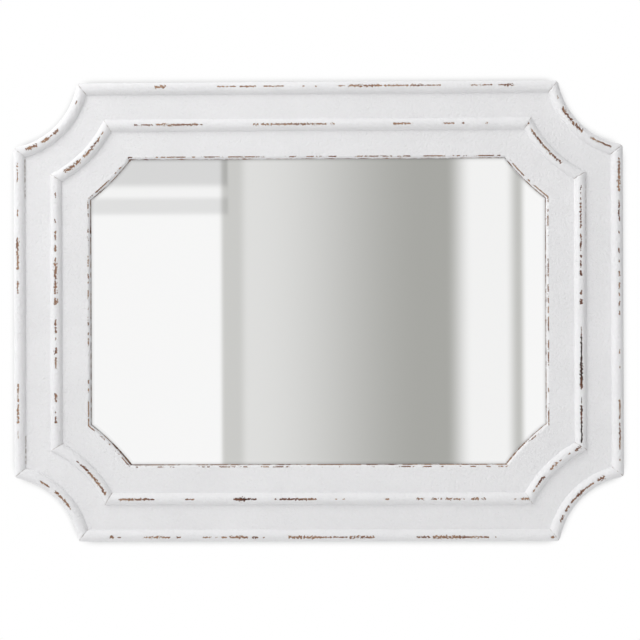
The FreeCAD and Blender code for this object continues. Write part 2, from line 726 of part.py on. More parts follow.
def make_hanger_strap(side, turn, x, z):
    """A strap folded round the ring's bar into an eye, with two screw holes and a rounded tail."""
    body = new_body(f"hanger_strap_{side}")
    drawing = Drawing(body, "Fold", "YZ_Plane")
    tail = "-Dims.strap_length"
    leaf = drawing.path((STRAP_SEAT, tail), ("0", tail), ("0", "-Dims.strap_lead"))
    eye_centre = (measure(RING_BAR_HEIGHT), 0)
    eye_radius = measure(EYE_RADIUS)
    overlap = eye_centre[0] - measure(STRAP_SEAT)
    leaf_meets_eye = (measure(STRAP_SEAT), -math.sqrt(eye_radius ** 2 - overlap ** 2))
    lead = (0, -measure("Dims.strap_lead"))
    bearing = math.atan2(lead[1] - eye_centre[1], lead[0] - eye_centre[0])
    bearing -= math.acos(eye_radius / math.dist(lead, eye_centre))
    ramp_meets_eye = (eye_centre[0] + eye_radius * math.cos(bearing), eye_radius * math.sin(bearing))
    ramp = drawing.line(lead, ramp_meets_eye)
    eye = drawing.arc(eye_centre, ramp_meets_eye, leaf_meets_eye, long=True)
    upper_leaf = drawing.line(leaf_meets_eye, (measure(STRAP_SEAT), measure(tail)))
    drawing.join(leaf[-1], ramp)
    drawing.blend(ramp, eye)
    drawing.join(eye, upper_leaf, leaf[0])
    drawing.rule("Vertical", upper_leaf)
    drawing.fix((eye, drawing.CENTRE_INDEX), RING_BAR_HEIGHT, "0")
    drawing.size("Radius", EYE_RADIUS, eye)
    drawing.circle(RING_BAR_HEIGHT, "0", EYE_BORE_RADIUS)
    pad(body, drawing, "Dims.strap_width", symmetric=True)

    holes = Drawing(body, "ScrewHoles", "XZ_Plane")
    for hole in STRAP_HOLES:
        holes.circle("0", f"-{hole}", "(Dims.screw_diameter + Dims.pilot_play) / 2")
    pocket(body, holes)
    tail_end = measure(tail)
    round_edges(body, "TailRound", "Dims.strap_end_round",
                lambda edge: is_along(edge, Y_DIRECTION) and is_near(edge.CenterOfMass.z, tail_end))
    place(body, x, BACK_PLANE, z, turn)
    sub_parts.append(body)


def make_ring(side, turn, x, z):
    """A D-shaped wire ring whose straight bar lies in the strap's eye."""
    half_width = measure("Dims.ring_width / 2")
    corner = measure("Dims.ring_corner_radius")
    bow_drop = "(Dims.ring_depth - Dims.ring_width / 2)"
    drop = measure(bow_drop)
    body = new_body(f"d_ring_{side}")
    spine = Drawing(body, "Spine", "XZ_Plane")
    bar = spine.line((corner - half_width, 0), (half_width - corner, 0))
    bends = []
    legs = []
    for sign in (1, -1):
        bend_ends = ((sign * (half_width - corner), 0), (sign * half_width, -corner))
        bends.append(spine.arc((sign * (half_width - corner), -corner), *bend_ends))
        legs.append(spine.line((sign * half_width, -corner), (sign * half_width, -drop)))
    bow = spine.arc((0, -drop), (-half_width, -drop), (half_width, -drop))
    spine.blend(bar, bends[0], legs[0], bow, legs[1], bends[1], bar)
    spine.fix((bar, 1), y="0")
    spine.fix((bar, 2), y="0")
    for leg in legs:
        spine.rule("Vertical", leg)
    spine.fix((bow, spine.CENTRE_INDEX), "0", f"-{bow_drop}")
    spine.size("Radius", "Dims.ring_width / 2", bow)
    for bend in bends:
        spine.size("Radius", "Dims.ring_corner_radius", bend)
    section = Drawing(body, "Section", "YZ_Plane")
    section.circle("0", "0", "Dims.ring_wire / 2")
    doc.recompute()
    wire = add_feature(body, "AdditivePipe", section)
    wire.Spine = (spine.sketch, [f"Edge{i}" for i in range(1, spine.sketch.GeometryCount + 1)])
    doc.recompute()
    place(body, x, f"{BACK_PLANE} + {RING_BAR_HEIGHT}", z, turn)
    sub_parts.append(body)


def make_bumpers():
    pattern = new_body("bumper")
    radius = "(Dims.bumper_diameter / 2)"
    drawing = Drawing(pattern, "Profile", "XY_Plane")
    drawing.polygon(("0", "0"), (radius, "0"), (f"{radius} - Dims.bumper_draft", "Dims.bumper_height"),
                    ("0", "Dims.bumper_height"))
    revolve(pattern, drawing)
    top = measure("Dims.bumper_height")
    round_edges(pattern, "EdgeRound", "Dims.bumper_edge_round",
                lambda edge: is_near(edge.BoundBox.YMin, top) and not is_along(edge, X_DIRECTION))
    places = []
    for name, turn, x_sign, z_sign in CORNERS:
        x = f"({x_sign}) * (Dims.overall_width / 2 - Dims.bumper_corner_step)"
        z = f"({z_sign}) * (Dims.overall_height / 2 - Dims.bumper_edge_step)"
        places.append((x, BACK_PLANE, z, 0))
    make_group("wall_bumpers", pattern, places)


for side_name in SIDES:
    make_board(side_name)
for row_name, row_inset, row_tip in (("outer", "0", "Dims.tip_round"),
                                     ("inner", "Dims.inner_bead_inset", "Dims.inner_tip_round")):
    for side_name in SIDES:
        make_straight_bead(row_name, side_name, row_inset, row_tip)
    for bead_corner in CORNERS:
        make_curved_bead(row_name, bead_corner, row_inset, row_tip)
make_biscuits()
make_sheet("back_panel", "Dims.panel_thickness", BACK_PLANE)
make_sheet("cushion_sheet", "Dims.cushion_thickness", f"{BACK_PLANE} - Dims.panel_thickness")
make_sheet("mirror_pane", "Dims.pane_thickness",
           f"{BACK_PLANE} - Dims.panel_thickness - Dims.cushion_thickness")

screw = make_screw_pattern()
button_screw_places = []
for side_name, number, pivot_x, pivot_z in button_places():
    make_turn_button(side_name, number, pivot_x, pivot_z)
    button_screw_places.append((pivot_x, f"{BACK_PLANE} + {BUTTON_SEAT}", pivot_z, 0))
make_group("button_screws", screw, button_screw_places)
for side_name, hanger_turn, bar_x, bar_z in hanger_places():
    make_hanger_strap(side_name, hanger_turn, bar_x, bar_z)
    make_ring(side_name, hanger_turn, bar_x, bar_z)
make_group("hanger_screws", screw, hanger_screw_places())
make_bumpers()

doc.recompute()
for item in doc.Objects:
    if "Invalid" in item.State or "Error" in item.State:
        raise RuntimeError(f"{item.Label} failed: {item.State}")
for item in sub_parts:
    if item.Shape.isNull() or not item.Shape.isValid():
        raise RuntimeError(f"{item.Label} has no valid shape")
os.makedirs("parts", exist_ok=True)
for item in sub_parts:
    item.Shape.exportStep(f"parts/{item.Label}.step")
    print(f"{item.Label}: {len(item.Shape.Solids)} solids, {item.Shape.Volume / 1000:.2f} cm3")
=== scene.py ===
import bmesh
import bpy
import math
from mathutils import Matrix, Vector, noise


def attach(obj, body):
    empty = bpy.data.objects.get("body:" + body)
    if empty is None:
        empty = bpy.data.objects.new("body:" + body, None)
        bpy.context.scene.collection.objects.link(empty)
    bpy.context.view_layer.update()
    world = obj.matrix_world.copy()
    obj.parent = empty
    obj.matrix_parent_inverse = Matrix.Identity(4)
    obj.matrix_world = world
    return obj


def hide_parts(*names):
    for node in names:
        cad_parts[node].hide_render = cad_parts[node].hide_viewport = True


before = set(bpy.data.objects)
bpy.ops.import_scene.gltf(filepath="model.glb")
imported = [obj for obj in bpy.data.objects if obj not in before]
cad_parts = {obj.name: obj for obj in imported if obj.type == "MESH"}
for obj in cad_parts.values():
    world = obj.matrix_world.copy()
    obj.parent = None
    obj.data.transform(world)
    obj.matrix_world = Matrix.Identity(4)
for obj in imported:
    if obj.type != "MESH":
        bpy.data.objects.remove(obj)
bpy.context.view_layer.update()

MM = 0.001
FRONT_PLANE = -25.0
BACK_PLANE = -7.0
HALF_WIDTH = 406.5
HALF_HEIGHT = 306.5
RAIL_WIDTH = 101.5
SCALLOP_RADIUS = 101.6
SCALLOP_OFFSET = 15.0
BEAD_WIDTH = 16.0
BEAD_HEIGHT = 6.0
BOW_CENTRE_STEP = 81.9
BOW_RADIUS = 300.0
ARRIS_ROUND = 3.0

# Where the paint of the beads is worn through: start, end and half width of each streak.
# Straight beads are measured along X or Z in millimetres, and curved ones in degrees round the scallop.
BEAD_WEAR = {
    "outer_bead_top": [
        (-215, -202, 1.9), (-132, -110, 0.8), (-102, -82, 1.0), (-70, -46, 0.8), (-18, -17, 0.8),
        (-2, -1, 0.9), (29, 38, 0.7), (43, 85, 1.4), (90, 121, 1.0), (125, 139, 1.2), (142, 163, 0.8),
        (205, 232, 0.8), (242, 250, 0.7), (250, 260, 1.5)],
    "outer_bead_top_right": [(20, 21, 0.9), (29, 50, 1.9), (58, 73, 1.1)],
    "outer_bead_right": [
        (181, 201, 1.3), (163, 178, 1.6), (159, 162, 1.3), (137, 146, 1.0), (126, 133, 1.0),
        (120, 123, 1.0), (103, 104, 0.7), (77, 81, 0.9), (64, 66, 0.7), (46, 51, 1.1), (30, 36, 0.9),
        (19, 22, 0.8), (7, 11, 1.2), (-5, -2, 0.9), (-56, -52, 0.7), (-76, -75, 0.8), (-134, -118, 1.1),
        (-143, -135, 1.0), (-152, -149, 0.9), (-183, -155, 1.1), (-198, -197, 0.6)],
    "outer_bead_bottom_right": [
        (23, 27, 1.4), (31, 34.5, 1.3), (38, 45, 1.2), (45, 50, 1.9), (50.5, 59, 1.0), (63, 67, 1.9)],
    "outer_bead_bottom": [
        (-277, -273, 1.6), (-266, -265, 0.7), (-232, -228, 1.0), (-224, -199, 1.2), (-188, -185, 1.1),
        (-152, -144, 0.9), (-136, -135, 0.7), (-128, -122, 1.1), (-117, -111, 1.4), (-110, -95, 1.6),
        (-87, -81, 1.4), (-73, -72, 0.8), (-39, 2, 1.6), (4, 37, 0.9), (42, 73, 1.5), (132, 139, 1.1),
        (140, 147, 1.4), (153, 194, 1.8), (196, 225, 1.1), (235, 236, 0.6), (309, 313, 1.4)],
    "outer_bead_bottom_left": [(33, 34, 0.6), (35, 43, 1.4), (44, 49, 1.7), (55, 61.5, 1.2)],
    "outer_bead_left": [
        (195, 198, 1.1), (175, 191, 0.6), (130, 136, 0.9), (58, 99, 1.5), (26, 41, 1.1), (-106, -96, 1.0),
        (-119, -108, 0.9), (-147, -124, 1.3), (-167, -158, 0.4)],
    "outer_bead_top_left": [
        (22, 23, 0.6), (46, 49.5, 1.7), (52, 53, 0.9), (54.5, 59.5, 2.0), (64.5, 72, 2.0)],
    "inner_bead_top": [
        (-242, -238, 1.1), (-234, -220, 0.9), (-214, -184, 1.3), (-182, -160, 1.3), (-154, -153, 0.7),
        (-83, -79, 1.2), (-73, -61, 1.2), (-59, -4, 1.1), (-1, 12, 1.0), (19, 22, 1.1), (103, 126, 1.1),
        (168, 182, 0.9), (193, 194, 0.9), (225, 226, 0.9)],
    "inner_bead_top_right": [(25.5, 27.5, 2.0), (30.5, 43, 1.3), (44, 52, 1.4)],
    "inner_bead_right": [
        (162, 164, 1.0), (155, 156, 0.7), (148, 149, 0.7), (131, 142, 1.2), (121, 127, 1.0),
        (111, 118, 1.1), (94, 100, 1.0), (85, 92, 1.1), (80, 81, 0.6), (71, 74, 1.1), (58, 65, 0.9),
        (47, 52, 1.3), (22, 26, 1.3), (9, 14, 1.6), (-33, -22, 0.6), (-70, -36, 0.85), (-102, -70, 1.3),
        (-122, -116, 0.4), (-137, -127, 1.05), (-174, -137, 0.8)],
    "inner_bead_bottom_right": [
        (31, 32, 1.0), (34, 39.5, 1.4), (44.5, 49, 1.5), (51, 51.5, 0.6), (56, 56.5, 0.6),
        (59.5, 62.5, 1.4)],
    "inner_bead_bottom": [
        (-264, -226, 1.4), (-226, -220, 1.0), (-176, -166, 0.9), (-111, -97, 1.2), (-104, -99, 2.0),
        (-93, -83, 0.8), (-58, -57, 0.7), (-50, -28, 0.95), (-27, -4, 0.95), (23, 24, 0.7), (34, 35, 0.7),
        (90, 93, 1.2), (132, 140, 1.1), (152, 157, 1.1), (162, 163, 0.8), (170, 177, 1.3),
        (180, 188, 1.1), (193, 194, 0.8), (205, 213, 1.3), (219, 222, 1.0), (260, 261, 0.7),
        (270, 280, 1.4)],
    "inner_bead_bottom_left": [(30, 48, 1.5), (50, 50.5, 0.8)],
    "inner_bead_left": [
        (155, 158, 0.9), (120, 123, 0.8), (97, 107, 1.1), (81, 89, 1.3), (68, 72, 1.1), (49, 67, 1.9),
        (41, 47, 1.4), (26, 39, 1.6), (11, 18, 2.1), (-17, -11, 1.3), (-27, -20, 1.2), (-36, -35, 0.6),
        (-54, -49, 1.8), (-65, -61, 1.3), (-74, -67, 0.9), (-118, -109, 1.7), (-134, -133, 0.9),
        (-147, -140, 1.2)],
    "inner_bead_top_left": [
        (31, 32, 0.9), (34, 36, 1.2), (37, 43, 1.3), (43, 46, 1.9), (48.5, 51.5, 1.9), (52.5, 57.5, 2.2)],
}
# How much of the opening's arris is worn: pairs of a place along the side in millimetres and a share
ARRIS_WEAR = {
    "top_rail": [
        (-300, 0.4), (-200, 0.35), (-120, 0.5), (-60, 0.3), (-20, 0.45), (40, 0.35), (80, 0.45),
        (180, 0.6), (250, 0.45), (300, 0.7)],
    "bottom_rail": [
        (-300, 0.6), (-240, 0.15), (-150, 0.2), (-120, 0.65), (-60, 0.6), (-25, 0.35), (20, 0.1),
        (60, 0.15), (95, 0.45), (160, 0.3), (240, 0.2), (300, 0.0)],
    "left_stile": [
        (-200, 0.6), (-130, 0.5), (-105, 0.4), (-75, 0.1), (-40, 0.45), (30, 0.45), (60, 0.3), (110, 0.4),
        (150, 0.35), (200, 0.7)],
    "right_stile": [
        (-200, 0.0), (-150, 0.35), (-100, 0.2), (-40, 0.55), (10, 0.45), (60, 0.4), (100, 0.45),
        (200, 0.7)],
}
# How much of the lip behind the arris is worn
LIP_WEAR = {"top_rail": 0.1, "bottom_rail": 0.5, "left_stile": 0.1, "right_stile": 0.2}
# Where the paint has cracked along the foot of a bead: its ends along the bead in millimetres,
# and 1 for the foot towards the opening or -1 for the other one
FOOT_CRACKS = {"outer_bead_left": [(152, 205, 1), (-203, -165, 1)], "inner_bead_right": [(77, 190, -1)]}
# How much lighter or darker than the rest the bare wood of a bead is
BEAD_TONE = {"outer_bead_top": 0.09, "outer_bead_left": 0.09, "inner_bead_top": 0.06,
             "outer_bead_bottom": 0.04, "inner_bead_right": -0.11, "inner_bead_bottom": 0.04}
# Where the bare wood is stained dark and its streaks are less broken: ends along the bead in millimetres
DARK_LENGTHS = {"inner_bead_right": (-180, -34), "inner_bead_bottom": (-115, 0)}
DARK_TONE = -0.15
DARK_WEAR = 0.35


class Shader:
    """A material whose node tree is built by short calls, each of which returns a socket."""

    def __init__(self, name):
        self.material = bpy.data.materials.new(name)
        self.material.use_nodes = True
        self.tree = self.material.node_tree
        self.tree.nodes.clear()
        self.output = self.tree.nodes.new("ShaderNodeOutputMaterial")

    def feed(self, socket, value):
        if isinstance(value, bpy.types.NodeSocket):
            self.tree.links.new(value, socket)
        else:
            socket.default_value = value

    def node(self, kind, inputs=(), **settings):
        made = self.tree.nodes.new("ShaderNode" + kind)
        for key, value in settings.items():
            setattr(made, key, value)
        for key, value in dict(inputs).items():
            self.feed(made.inputs[key], value)
        return made

    def math(self, operation, *values):
        return self.node("Math", enumerate(values), operation=operation).outputs[0]

    def noise(self, vector, scale, detail=2.0, roughness=0.5):
        inputs = {"Vector": vector, "Scale": scale, "Detail": detail, "Roughness": roughness}
        return self.node("TexNoise", inputs).outputs["Fac"]

    def between(self, value, low, high, bottom=0.0, top=1.0):
        """A smooth step from bottom to top while value goes from low to high."""
        inputs = {"Value": value, "From Min": low, "From Max": high, "To Min": bottom, "To Max": top}
        return self.node("MapRange", inputs, interpolation_type="SMOOTHSTEP").outputs["Result"]

    def share(self, value, low, high):
        """How far value has gone from low to high, evenly from zero to one."""
        return self.node("MapRange", {"Value": value, "From Min": low, "From Max": high}).outputs["Result"]

    def weighted(self, first, first_weight, second, second_weight):
        """The sum of two values, each times its weight."""
        return self.math("ADD", self.math("MULTIPLY", first, first_weight),
                         self.math("MULTIPLY", second, second_weight))

    def mix(self, share, first, second):
        made = self.node("Mix", data_type="RGBA")
        for socket, value in ((made.inputs[0], share), (made.inputs[6], first), (made.inputs[7], second)):
            self.feed(socket, value)
        return made.outputs[2]

    def ramp(self, share, stops, interpolation="LINEAR"):
        made = self.node("ValToRGB", {"Fac": share})
        made.color_ramp.interpolation = interpolation
        elements = made.color_ramp.elements
        while len(elements) < len(stops):
            elements.new(1.0)
        for element, (place, level) in zip(elements, stops):
            element.position = place
            element.color = level if isinstance(level, tuple) else (level, level, level, 1.0)
        return made.outputs["Color"]

    def bump(self, height, distance, normal=None, strength=1.0):
        inputs = {"Height": height, "Distance": distance, "Strength": strength}
        if normal:
            inputs["Normal"] = normal
        return self.node("Bump", inputs).outputs["Normal"]

    def place(self):
        return self.node("TexCoord").outputs["Object"]

    def stretched(self, vector, scale):
        return self.node("Mapping", {"Vector": vector, "Scale": scale}).outputs["Vector"]

    def parts(self, vector):
        return self.node("SeparateXYZ", {"Vector": vector}).outputs

    def finish(self, **inputs):
        named = {key.replace("_", " "): value for key, value in inputs.items()}
        return self.show(self.node("BsdfPrincipled", named).outputs[0])

    def show(self, surface):
        self.tree.links.new(surface, self.output.inputs["Surface"])
        return self.material


def colour(red, green, blue):
    """A screen colour of 0 to 255 as the linear colour that nodes use."""
    def linear(level):
        level /= 255
        return level / 12.92 if level <= 0.04045 else ((level + 0.055) / 1.055) ** 2.4

    return linear(red), linear(green), linear(blue), 1.0


PAINT = colour(234.4, 234, 235.3)
PAINT_SHADE = colour(231.4, 231, 232.3)
PAINT_THIN = colour(206, 198, 188)
CRACK_SHADE = colour(168, 160, 153)
PAINT_SHEEN = 0.25
PAINT_ROUGHNESS = 0.6
WOOD_LIGHT = colour(164, 131, 106)
WOOD_DARK = colour(108, 70, 55)
WOOD_STAINED = colour(52, 38, 36)
WOOD_ROUGHNESS = 0.85
BARE_LIGHT = colour(198, 165, 124)
BARE_DARK = colour(164, 126, 86)
BARE_ROUGHNESS = (0.8, 0.8, 0.8, 1.0)

# Scales of noise, per metre
LEVEL_GRAIN = (18, 300, 300)
UPRIGHT_GRAIN = (300, 300, 18)
CURVED_GRAIN = (90, 300, 90)
LEVEL_RINGS = (3, 90, 90)
UPRIGHT_RINGS = (90, 90, 3)
CHIP_SCALE = 520
FRAY_SCALE = 1500
PATCH_SCALE = 34
MOTTLE_SCALE = 14
PEEL_SCALE = 330
GRIT_SCALE = 900
CRACK_SCALE = 240
RUB_SCALE = 95
OVERSPRAY_SCALE = 45

# How ragged the edges of chips are, and how deep the paint's relief is, in metres
CHIP_WEIGHT = 1.7
FRAY_WEIGHT = 1.3
PEEL_RELIEF = 0.0012
CHIP_RELIEF = 0.0003

# Wear along the opening: how sharply it starts, and how far behind the front it lies, in millimetres
WEAR_CONTRAST = 4.0
UNWORN = -4.0
LEAST_WEAR = -2.0
ARRIS_SHARE = 0.65
ARRIS_NARROWNESS = 1.4
ARRIS_DEPTH = 6
LIP_START = 5.5
LIP_END = 8.5
LIP_GAIN = 0.65

# How raggedly the paint ends on the back of the boards, in millimetres
OVERSPRAY_REACH = 16


def finish_paint(shader, wear, grain, tone_shift=0.0):
    """Chalky white paint over wood. Where wear is above zero the paint is chipped away."""
    place = shader.place()
    ragged = shader.weighted(shader.noise(place, CHIP_SCALE, 3.0), CHIP_WEIGHT,
                             shader.noise(place, FRAY_SCALE), FRAY_WEIGHT)
    edge = shader.math("ADD", wear, shader.math("SUBTRACT", ragged, (CHIP_WEIGHT + FRAY_WEIGHT) / 2))
    chip = shader.between(edge, -0.06, 0.1)
    thin = shader.between(edge, -0.6, 0.0)
    fibres = shader.noise(shader.stretched(place, grain), 1.0, 4.0, 0.6)
    tone = shader.weighted(fibres, 0.5, shader.noise(place, PATCH_SCALE), 0.6)
    tone = shader.math("ADD", tone, tone_shift)
    wood = shader.mix(shader.between(tone, 0.42, 0.68), WOOD_DARK, WOOD_LIGHT)
    wood = shader.mix(shader.between(tone, 0.25, 0.42), WOOD_STAINED, wood)
    mottling = shader.between(shader.noise(place, MOTTLE_SCALE, 3.0), 0.3, 0.7)
    paint = shader.mix(mottling, PAINT_SHADE, PAINT)
    paint = shader.mix(shader.math("MULTIPLY", thin, 0.3), paint, PAINT_THIN)
    peel = shader.weighted(shader.noise(place, PEEL_SCALE), 1.0, shader.noise(place, GRIT_SCALE), 0.5)
    normal = shader.bump(peel, PEEL_RELIEF)
    normal = shader.bump(shader.math("SUBTRACT", 1.0, chip), CHIP_RELIEF, normal)
    roughness = shader.between(chip, 0.0, 1.0, PAINT_ROUGHNESS, WOOD_ROUGHNESS)
    return shader.mix(chip, paint, wood), roughness, normal


def bead_paint(name, grain):
    """Paint that is chipped and cracked where the attributes of the mesh say so."""
    shader = Shader(name)
    wear, seam, tone_shift = (shader.node("Attribute", attribute_name=label).outputs["Fac"]
                              for label in ("wear", "seam", "tone"))
    base, roughness, normal = finish_paint(shader, wear, grain, tone_shift)
    cracked = shader.between(shader.noise(shader.place(), CRACK_SCALE, 3.0), 0.35, 0.62)
    base = shader.mix(shader.math("MULTIPLY", seam, cracked), base, CRACK_SHADE)
    return shader.finish(Base_Color=base, Roughness=roughness, Normal=normal, Specular_IOR_Level=PAINT_SHEEN)


def inside_distance(shader, place, inset, centre_step, radius):
    """How far a point lies inside an outline, in millimetres; below zero outside it.

    The outline is a rectangle, inset from the frame's edges, whose corners are cut by arcs. Their centres lie
    diagonally beyond the frame's corners by the centre step.
    """
    x, _, z = shader.parts(place)
    from_sides = []
    squares = []
    for axis, half in ((x, HALF_WIDTH), (z, HALF_HEIGHT)):
        away = shader.math("MULTIPLY", shader.math("ABSOLUTE", axis), 1 / MM)
        from_sides.append(shader.math("SUBTRACT", half - inset, away))
        from_centre = shader.math("SUBTRACT", away, half + centre_step)
        squares.append(shader.math("MULTIPLY", from_centre, from_centre))
    from_arc = shader.math("SUBTRACT", shader.math("SQRT", shader.math("ADD", *squares)), radius)
    return shader.math("MINIMUM", shader.math("MINIMUM", *from_sides), from_arc)


def opening_distance(shader, place):
    return inside_distance(shader, place, RAIL_WIDTH, BOW_CENTRE_STEP, BOW_RADIUS)


def behind_front(depth):
    return (FRONT_PLANE + depth) * MM


def board_paint(board, is_upright):
    """Paint that is worn along the arris of the opening, and bare wood on the back."""
    shader = Shader(f"paint_{board}")
    place = shader.place()
    x, y, z = shader.parts(place)
    along = z if is_upright else x
    reach = (HALF_HEIGHT if is_upright else HALF_WIDTH) * MM
    stops = [((spot * MM + reach) / (2 * reach), level) for spot, level in ARRIS_WEAR[board]]
    covered = shader.ramp(shader.share(along, -reach, reach), stops)
    inside = opening_distance(shader, place)
    patches = shader.between(shader.noise(place, RUB_SCALE, 3.0, 0.65), 0.28, 0.72)
    worn = shader.math("MULTIPLY", shader.math("SUBTRACT", covered, patches), WEAR_CONTRAST)
    off_arris = shader.math("ABSOLUTE", shader.math("ADD", inside, ARRIS_ROUND * ARRIS_SHARE))
    on_arris = shader.math("SUBTRACT", 1.0, shader.math("MULTIPLY", off_arris, ARRIS_NARROWNESS))
    is_front = shader.between(y, behind_front(ARRIS_DEPTH), behind_front(ARRIS_DEPTH + 1), 1.0, UNWORN)
    arris = shader.math("MINIMUM", shader.math("MINIMUM", worn, on_arris), is_front)
    near_glass = shader.between(y, behind_front(LIP_START), behind_front(LIP_END),
                                LIP_WEAR[board], LIP_WEAR[board] + LIP_GAIN)
    rubbed = shader.math("MULTIPLY", shader.math("SUBTRACT", near_glass, patches), WEAR_CONTRAST)
    on_lip = shader.between(inside, -0.25, -0.05, UNWORN, 1.0)
    lip = shader.math("MINIMUM", rubbed, on_lip)
    wear = shader.math("MAXIMUM", shader.math("MAXIMUM", arris, lip), LEAST_WEAR)
    base, roughness, normal = finish_paint(shader, wear, UPRIGHT_GRAIN if is_upright else LEVEL_GRAIN)

    rings = shader.stretched(place, UPRIGHT_RINGS if is_upright else LEVEL_RINGS)
    bare = shader.mix(shader.between(shader.noise(rings, 1.0, 5.0, 0.6), 0.3, 0.7), BARE_DARK, BARE_LIGHT)
    ragged = shader.math("MULTIPLY", shader.noise(place, OVERSPRAY_SCALE, 4.0, 0.7), OVERSPRAY_REACH)
    from_edge = inside_distance(shader, place, 0.0, SCALLOP_OFFSET, SCALLOP_RADIUS)
    is_bare = shader.between(shader.math("ADD", from_edge, ragged), 8, 11)
    is_back = shader.between(y, (BACK_PLANE - 0.6) * MM, (BACK_PLANE - 0.2) * MM)
    unpainted = shader.math("MULTIPLY", is_bare, is_back)
    return shader.finish(Base_Color=shader.mix(unpainted, base, bare),
                         Roughness=shader.mix(unpainted, roughness, BARE_ROUGHNESS), Normal=normal,
                         Specular_IOR_Level=PAINT_SHEEN)


# How far the lip's painted shade reaches over the glass in millimetres, the levels of that painted shade from
# there inwards, and the range of roughness
GLASS_RIM = 6.0
GLASS_PAINTED_SHADE = [(0.0, 0.68), (0.4, 0.88), (1.0, 0.97)]
GLASS_ROUGHNESS = (0.012, 0.03)


def mirror_finish():
    """Silvered glass whose colour is darkened beside the lip as painted shade."""
    shader = Shader("silvered_glass")
    place = shader.place()
    inside = opening_distance(shader, place)
    # Painted shade: the glass's colour darkens towards the lip that shades it
    painted_shade = shader.ramp(shader.between(inside, 0.0, GLASS_RIM), GLASS_PAINTED_SHADE)
    smear = shader.between(shader.noise(place, 9, 4.0), 0.3, 0.8, *GLASS_ROUGHNESS)
    return shader.finish(Base_Color=painted_shade, Metallic=1.0, Roughness=smear)


def metal_finish(name, light, dark, roughness, scale):
    """Plated sheet metal or wire, with cloudy tone and fine scratches."""
    shader = Shader(name)
    place = shader.place()
    cloud = shader.between(shader.noise(place, scale, 4.0, 0.6), 0.3, 0.7)
    scratches = shader.noise(shader.stretched(place, (250, 250, 2500)), 1.0, 2.0)
    rough = shader.between(shader.noise(place, scale * 3, 3.0), 0.2, 0.8, roughness - 0.08, roughness + 0.1)
    return shader.finish(Base_Color=shader.mix(cloud, dark, light), Metallic=1.0, Roughness=rough,
                         Normal=shader.bump(scratches, 0.00003))


HARDBOARD_LIGHT = colour(146, 112, 82)
HARDBOARD_DARK = colour(104, 76, 55)
SCREEN_PITCH = 0.0021
SCREEN_RELIEF = 0.00016
FIBRE_RELIEF = 0.0001


def hardboard_finish():
    """Pressed fibre board, whose back carries the print of a wire screen."""
    shader = Shader("hardboard")
    place = shader.place()
    x, _, z = shader.parts(place)
    fibres = shader.noise(shader.stretched(place, (220, 220, 260)), 1.0, 5.0, 0.7)
    tone = shader.weighted(fibres, 0.7, shader.noise(place, 11, 3.0), 0.3)
    base = shader.mix(shader.between(tone, 0.35, 0.65), HARDBOARD_DARK, HARDBOARD_LIGHT)
    turn = 2 * math.pi / SCREEN_PITCH
    waves = [shader.math("SINE", shader.math("MULTIPLY", axis, turn)) for axis in (x, z)]
    screen = shader.math("MULTIPLY", *waves)
    normal = shader.bump(screen, SCREEN_RELIEF, shader.bump(fibres, FIBRE_RELIEF))
    return shader.finish(Base_Color=base, Roughness=0.86, Normal=normal)


def plain_finish(name, light, dark, roughness, scale, relief):
    """A dull material with cloudy tone and fine relief."""
    shader = Shader(name)
    tone = shader.noise(shader.place(), scale, 4.0, 0.6)
    base = shader.mix(shader.between(tone, 0.3, 0.7), dark, light)
    return shader.finish(Base_Color=base, Roughness=roughness, Normal=shader.bump(tone, relief))


def paint_node(name, material):
    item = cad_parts[name]
    item.data.materials.clear()
    item.data.materials.append(material)


def add_piece(name, mesh, material):
    piece = bpy.data.objects.new(name, mesh)
    mesh.materials.append(material)
    bpy.context.scene.collection.objects.link(piece)
    return piece


def face_outwards(mesh):
    shape = bmesh.new()
    shape.from_mesh(mesh)
    bmesh.ops.recalc_face_normals(shape, faces=shape.faces)
    shape.to_mesh(mesh)
    shape.free()


def smooth(value, low, high):
    share = min(max((value - low) / (high - low), 0.0), 1.0)
    return share * share * (3 - 2 * share)


CROWN_RADIUS = (BEAD_WIDTH ** 2 / 4 + BEAD_HEIGHT ** 2) / (2 * BEAD_HEIGHT)
ACROSS_STEPS = [-8, -7.7, -7.2, -6.5, -5.6, -4.6, -3.7, -3, -2.3, -1.7, -1.1, -0.5, 0,
                0.5, 1.1, 1.7, 2.3, 3, 3.7, 4.6, 5.6, 6.5, 7.2, 7.7, 8]
ALONG_STEP = 1.2
END_STEPS = [0, 0.2, 0.5, 0.9]
END_DROP = 0.5
CHIP_DEPTH = 0.3
WAVINESS = 0.14
WAVE_LENGTH = 26
FOOT_START, FOOT_END = 6.5, 7.7
SEAM_START, SEAM_END = 0.15, 0.75

# The shape of a streak of wear: its strength in the middle, how it fades, and the noise that frays it
STREAK_STRENGTH = 0.72
STREAK_FADE = 1.6
STREAK_SPREAD = 1.2
STREAK_REACH = 5
NO_STREAK = -2.0
FRAY_COARSE, FRAY_COARSE_SIZE = 1.45, 2.2
FRAY_FINE, FRAY_FINE_SIZE = 0.8, 0.9


def crown(across):
    return math.sqrt(CROWN_RADIUS ** 2 - across ** 2) - CROWN_RADIUS + BEAD_HEIGHT


def band_corner(inset):
    """Run and rise from the scallop's centre to where a bead's edge is mitred."""
    rise = SCALLOP_OFFSET + inset
    return math.sqrt((SCALLOP_RADIUS + inset) ** 2 - rise ** 2), rise


